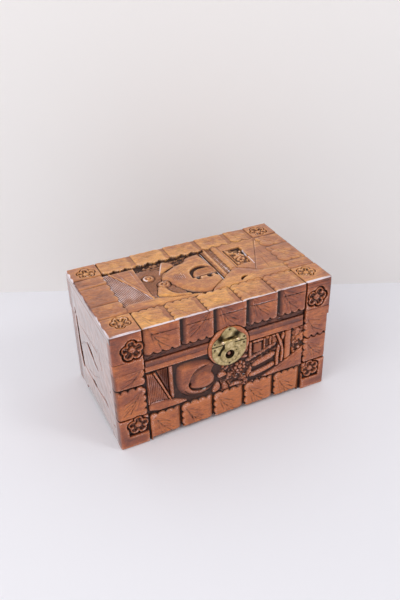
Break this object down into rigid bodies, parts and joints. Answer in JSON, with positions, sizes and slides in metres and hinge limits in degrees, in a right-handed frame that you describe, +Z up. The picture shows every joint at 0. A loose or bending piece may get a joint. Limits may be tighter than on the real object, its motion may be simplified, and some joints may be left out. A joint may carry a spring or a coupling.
{
  "type": "jewelry box",
  "caption": "Rectangular carved wooden jewelry box with a hinged lid, a brass flap hasp and a lift-out tray.",
  "frame": {"origin": "middle of the footprint, lock included, at floor level", "axes": "+X along the front from left to right, +Y from front to back, +Z up"},
  "size_m": [0.305, 0.1816, 0.176],
  "materials": {
    "carved_wood": "carved and lacquered, dark stain in the recesses",
    "lacquered_wood": "gloss lacquer",
    "plain_wood": "unfinished camphor wood",
    "aged_brass": "dull, tarnished",
    "velvet": "short pile"
  },
  "bodies": {
    "case": {"front_board": "carved_wood", "back_board": "lacquered_wood", "left_end_board": "lacquered_wood", "right_end_board": "lacquered_wood", "bottom_board": "plain_wood", "case_lining": "velvet", "left_tray_runner": "plain_wood", "right_tray_runner": "plain_wood", "lower_lock_plate": "aged_brass", "lower_plate_nails": "aged_brass", "catch_knob": "aged_brass", "left_hinge_case_leaf": "aged_brass", "right_hinge_case_leaf": "aged_brass", "hinge_case_screws": "aged_brass", "left_hinge_pin": "aged_brass", "right_hinge_pin": "aged_brass"},
    "lid": {"lid_top_board": "carved_wood", "lid_front_rail": "carved_wood", "lid_back_rail": "lacquered_wood", "lid_left_rail": "lacquered_wood", "lid_right_rail": "lacquered_wood", "lid_lining": "velvet", "upper_lock_plate": "aged_brass", "upper_plate_nails": "aged_brass", "hasp_pin": "aged_brass", "left_hinge_lid_leaf": "aged_brass", "right_hinge_lid_leaf": "aged_brass", "hinge_lid_screws": "aged_brass"},
    "hasp": {"hasp": "aged_brass"},
    "tray": {"tray_front": "plain_wood", "tray_back": "plain_wood", "tray_left_end": "plain_wood", "tray_right_end": "plain_wood", "tray_floor": "plain_wood", "tray_long_divider": "plain_wood", "tray_front_divider": "plain_wood", "tray_back_dividers": "plain_wood", "tray_linings": "velvet"}
  },
  "joints": [
    {"name": "lid_hinge", "type": "hinge", "parent": "case", "child": "lid", "pos_m": [0, 0.0873, 0.11865], "axis": [-1, 0, 0], "range_deg": [0, 100]},
    {"name": "hasp_hinge", "type": "hinge", "parent": "lid", "child": "hasp", "pos_m": [0.0015, -0.0885, 0.1242], "axis": [-1, 0, 0], "range_deg": [0, 170]},
    {"name": "tray_lift", "type": "slide", "parent": "case", "child": "tray", "axis": [0, 0, 1], "range_m": [0, 0.02]}
  ]
}
